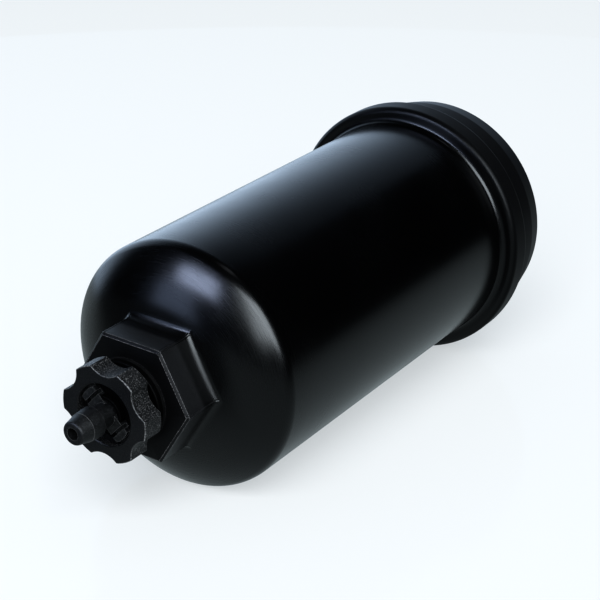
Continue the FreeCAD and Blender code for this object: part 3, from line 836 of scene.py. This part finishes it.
def glue():
    """Pale hot-melt glue, laid in beads."""
    look = Look("band_glue", Specular_IOR_Level=0.5, Roughness=0.4)
    beads = look.noise(900.0, 2.0)
    colour = look.blend(beads, (0.66, 0.62, 0.50), (0.80, 0.77, 0.66))
    look.bump(beads, 0.5, 0.1)
    return look.done(colour)


def dress_cad_nodes():
    """Materials for the CAD nodes that keep their own shape."""
    seal = rubber()
    fine = moulded_plastic("fine_plastic")
    cap = plain_plastic("cap_plastic_blue", (0.016, 0.032, 0.066), (0.026, 0.048, 0.092), 0.32, 0.46)
    seat = plain_plastic("seat_plastic_dark", (0.030, 0.030, 0.033), (0.046, 0.046, 0.05), 0.38, 0.5)
    tube = plain_plastic("tube_plastic_pale", (0.46, 0.46, 0.43), (0.58, 0.58, 0.54), 0.35, 0.5)
    potting = resin()
    # Darker than the stem's plastic: painted shade on the valve body, which sits behind the wheel and in
    # the bore.
    shaded_plug = plain_plastic(
        "valve_plastic_shaded_black", (0.0006, 0.0006, 0.0007), (0.0012, 0.0012, 0.0013), 0.5, 0.6, specular=0.1,
    )
    dressed = {
        "mouth_o_ring": seal, "drain_gasket": seal, "snout_o_ring": seal, "stem_o_ring": seal,
        "nose_seal": seal, "seat_o_ring": seal, "outlet_grommet": seal,
        "valve_body": shaded_plug, "drain_stem": fine,
        "spring_seat": seat, "bottom_end_cap": cap, "top_end_cap": cap, "centre_tube": tube,
        "bottom_potting": potting, "top_potting": potting, "pleat_bands": glue(),
    }
    for node, material in dressed.items():
        for slot in frame["nodes"][node].material_slots:
            slot.material = material


# ---------------------------------------------------------------- stage, light and camera
FLOOR_TILT = math.radians(2.366)        # the canister rests on its collar and its domed end
FLOOR_UP = Vector((0.0, math.sin(FLOOR_TILT), math.cos(FLOOR_TILT)))
FLOOR_HALF = 6.0
FLOOR_GAP = 0.05                        # millimetres between the collar and the floor
COLLAR_FOOT = place(COLLAR_R - COLLAR_EDGE_R, COLLAR_FRONT + COLLAR_EDGE_R, -math.pi / 2)
MIRROR_SHARE = 0.015
STUDIO_CENTRE = Vector((0.0, 0.0, AXIS_Z))
BACKDROP_GLOW = 1.45
FLOOR_GLOW = 0.43
FLOOR_COLOUR = (0.32, 0.325, 0.33, 1.0)
FLOOR_BACKLIGHT = (0.395, 0.413, 0.423, 1.0)
CAMERA_LENS = 98.35
CAMERA_SENSOR = 36.0
CAMERA_PLACE = Vector((0.2765, -0.3939, 0.2139 + AXIS_Z))
CAMERA_RIGHT = Vector((0.8307, 0.5562, -0.0233))
CAMERA_UP = Vector((-0.2071, 0.3477, 0.9144))


def heading(azimuth_deg, elevation_deg):
    """A direction: azimuth from +Y towards +X, elevation above the level."""
    azimuth = math.radians(azimuth_deg)
    elevation = math.radians(elevation_deg)
    level = math.cos(elevation)
    return Vector((math.sin(azimuth) * level, math.cos(azimuth) * level, math.sin(elevation)))


def glowing(name, colour, strength, fade=None):
    """A material that only gives light, with an optional fade over object coordinates."""
    material = bpy.data.materials.new(name)
    material.use_nodes = True
    tree = material.node_tree
    tree.nodes.clear()
    out = tree.nodes.new("ShaderNodeOutputMaterial")
    glow = tree.nodes.new("ShaderNodeEmission")
    glow.inputs["Color"].default_value = (*colour, 1.0)
    glow.inputs["Strength"].default_value = strength
    tree.links.new(glow.outputs[0], out.inputs["Surface"])
    material.cycles.emission_sampling = "NONE"
    if fade:
        fade(tree, glow)
    return material


def reflected_only(obj):
    """Seen in reflections, and by nothing else."""
    obj.visible_camera = False
    obj.visible_diffuse = False
    obj.visible_transmission = False
    obj.visible_volume_scatter = False
    obj.visible_shadow = False
    obj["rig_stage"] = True


def stage_sheet(name, corners, material):
    """One flat face through its corners."""
    mesh = bpy.data.meshes.new(name)
    mesh.from_pydata(corners, [], [tuple(range(len(corners)))])
    mesh.materials.append(material)
    obj = bpy.data.objects.new(name, mesh)
    bpy.context.scene.collection.objects.link(obj)
    return obj


def floor_material():
    """A pale light table, lit from below too, with a faint mirror image of what stands on it."""
    look = Look("white_floor", Base_Color=FLOOR_COLOUR, Roughness=0.8, Specular_IOR_Level=0.0,
                Emission_Color=FLOOR_BACKLIGHT, Emission_Strength=1.0)
    haze = look.noise(14.0, 3.0)
    mirror = look.node("BsdfGlossy", Color=(0.85, 0.93, 1.0, 1.0))
    look.tree.links.new(look.ramp(haze, 0.3, 0.7, 0.08, 0.14), mirror.inputs["Roughness"])
    both = look.node("MixShader", _0=MIRROR_SHARE, _1=look.shader.outputs[0], _2=mirror.outputs[0])
    out = look.tree.nodes["Material Output"]
    look.tree.links.new(both.outputs[0], out.inputs["Surface"])
    return look.done()


def floor():
    """The pale floor, and just below it the sheet that the canister mirrors in its place."""
    foot = COLLAR_FOOT - FLOOR_UP * ((COLLAR_EDGE_R + FLOOR_GAP) * MM)
    side = Vector((FLOOR_HALF, 0.0, 0.0))
    along = side.cross(FLOOR_UP).normalized() * FLOOR_HALF
    corners = [foot - side - along, foot + side - along, foot + side + along, foot - side + along]
    sheet = stage_sheet("floor", corners, floor_material())
    sheet.visible_glossy = False
    sheet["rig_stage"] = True
    below = [corner - FLOOR_UP * MM for corner in corners]
    glow = glowing("floor_glow", (0.84, 0.96, 1.0), FLOOR_GLOW, floor_fade)
    reflected_only(stage_sheet("floor_mirrored", below, glow))


class Fade:
    """Arithmetic on a glowing material's object coordinates, for how its light fades."""

    def __init__(self, tree):
        self.tree = tree
        coordinates = tree.nodes.new("ShaderNodeTexCoord")
        split = tree.nodes.new("ShaderNodeSeparateXYZ")
        tree.links.new(coordinates.outputs["Object"], split.inputs[0])
        self.x, self.y, self.z = split.outputs

    def ramp(self, value, low, high, start, end):
        return smooth_ramp(self.tree, value, low, high, start, end)

    def calculate(self, operation, a, b):
        made = self.tree.nodes.new("ShaderNodeMath")
        made.operation = operation
        self.tree.links.new(a, made.inputs[0])
        self.tree.links.new(b, made.inputs[1])
        return made.outputs[0]

    def apply(self, share, glow):
        """Scales the glow's strength by the share."""
        strength = self.tree.nodes.new("ShaderNodeMath")
        strength.operation = "MULTIPLY"
        strength.inputs[1].default_value = glow.inputs["Strength"].default_value
        self.tree.links.new(share, strength.inputs[0])
        self.tree.links.new(strength.outputs[0], glow.inputs["Strength"])


def backdrop_fade(tree, glow):
    """Full light square to the left; none on the right, overhead or towards the drain end."""
    fade = Fade(tree)
    azimuth = fade.calculate("ARCTAN2", fade.x, fade.y)
    rightward = fade.ramp(azimuth, math.radians(-70), math.radians(35), 1.0, 0.0)
    leftward = fade.ramp(azimuth, math.radians(-108), math.radians(-92), 0.0, 1.0)
    upward = fade.ramp(fade.z, math.sin(math.radians(16)), math.sin(math.radians(75)), 1.0, 0.0)
    sides = fade.calculate("MULTIPLY", rightward, leftward)
    fade.apply(fade.calculate("MULTIPLY", sides, upward), glow)


def floor_fade(tree, glow):
    """The mirrored floor is dark far out on the right, and dim past the drain end, left of the axis."""
    fade = Fade(tree)
    right = fade.ramp(fade.x, 0.04, 0.38, 1.0, 0.0)
    front = fade.ramp(fade.y, -0.17, -0.08, 0.2, 1.0)
    front = fade.calculate("MAXIMUM", front, fade.ramp(fade.x, 0.0, 0.04, 0.0, 1.0))
    fade.apply(fade.calculate("MULTIPLY", right, front), glow)


def sphere_part(name, radius, material, keep):
    """A sphere round the object, or the part of it whose directions pass a test."""
    mesh = bpy.data.meshes.new(name)
    work = bmesh.new()
    bmesh.ops.create_icosphere(work, subdivisions=5, radius=1.0)
    gone = [face for face in work.faces if not keep(face.calc_center_median())]
    bmesh.ops.delete(work, geom=gone, context="FACES")
    work.to_mesh(mesh)
    work.free()
    mesh.materials.append(material)
    part = bpy.data.objects.new(name, mesh)
    part.location = STUDIO_CENTRE
    part.scale = (radius, radius, radius)
    bpy.context.scene.collection.objects.link(part)
    reflected_only(part)


def studio():
    """The dark room and the lit sheet to the left, as reflections see them."""
    dark = glowing("dark_room", (1.0, 1.0, 1.0), 0.0)
    sphere_part("dark_room", 2.4, dark, lambda towards: True)
    lit = glowing("backdrop_glow", (0.80, 0.98, 1.2), BACKDROP_GLOW, backdrop_fade)
    sphere_part("backdrop", 0.6, lit, lambda towards: towards.x < 0.1 and towards.y > -0.3)


def softbox(name, azimuth, elevation, distance, width, height, radiance, colour):
    """An area light that faces the object. Its power follows from how bright its face is."""
    data = bpy.data.lights.new(name, "AREA")
    data.shape = "RECTANGLE"
    data.size = width
    data.size_y = height
    data.color = colour
    data.energy = radiance * math.pi * width * height
    obj = bpy.data.objects.new(name, data)
    towards = heading(azimuth, elevation)
    obj.location = STUDIO_CENTRE + towards * distance
    obj.rotation_mode = "QUATERNION"
    obj.rotation_quaternion = towards.to_track_quat("Z", "Y")
    obj.visible_camera = False
    bpy.context.scene.collection.objects.link(obj)
    return obj


def lights():
    """The room's light, the softboxes that reflections see, and two lamps that they don't."""
    world = bpy.data.worlds.new("white_room")
    world.use_nodes = True
    backdrop = world.node_tree.nodes["Background"]
    backdrop.inputs["Color"].default_value = (0.90, 0.97, 1.04, 1.0)
    backdrop.inputs["Strength"].default_value = 0.26
    bpy.context.scene.world = world
    world.cycles_visibility.glossy = False
    # Each has its azimuth, elevation, distance, width, height, radiance and colour.
    boxes = (
        softbox("front_softbox", -167, 37, 0.9, 0.44, 0.26, 9.7, (0.70, 0.80, 1.05)),
        softbox("low_front_softbox", -155, 15, 0.9, 0.36, 0.36, 2.2, (0.66, 0.80, 1.10)),
        softbox("side_softbox", 124, 31, 1.1, 0.94, 0.80, 6.2, (0.91, 0.99, 1.05)),
        softbox("top_softbox", 10, 76, 1.2, 0.45, 0.45, 0.9, (0.95, 0.99, 1.05)),
    )
    for box in boxes:
        box.visible_diffuse = False
    fill = softbox("front_fill", 148, 42, 4.5, 3.4, 3.4, 6.2, (0.99, 1.0, 1.0))
    fill.visible_glossy = False
    mouth_light = softbox("mouth_light", 8, 28, 1.3, 0.9, 0.9, 3.2, (1.0, 1.0, 1.0))
    mouth_light.visible_glossy = False
    lit = bpy.data.collections.new("lit_by_mouth_light")
    for obj in bpy.context.scene.objects:
        if obj.type == "MESH" and not obj.get("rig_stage"):
            lit.objects.link(obj)
    mouth_light.light_linking.receiver_collection = lit
    bpy.context.scene.view_settings.view_transform = "Standard"
    bpy.context.scene.view_settings.look = "High Contrast"


def camera():
    """The photograph's point of view."""
    data = bpy.data.cameras.new("camera")
    data.lens = CAMERA_LENS
    data.sensor_width = CAMERA_SENSOR
    back = CAMERA_RIGHT.cross(CAMERA_UP).normalized()
    up = back.cross(CAMERA_RIGHT).normalized()
    obj = bpy.data.objects.new("camera", data)
    turn = Matrix((CAMERA_RIGHT.normalized(), up, back)).transposed()
    obj.matrix_world = Matrix.Translation(CAMERA_PLACE) @ turn.to_4x4()
    bpy.context.scene.collection.objects.link(obj)
    bpy.context.scene.camera = obj


camera()
studio()
floor()
canister()
hand_wheel()
coil_spring()
pleats()
dress_cad_nodes()
lights()
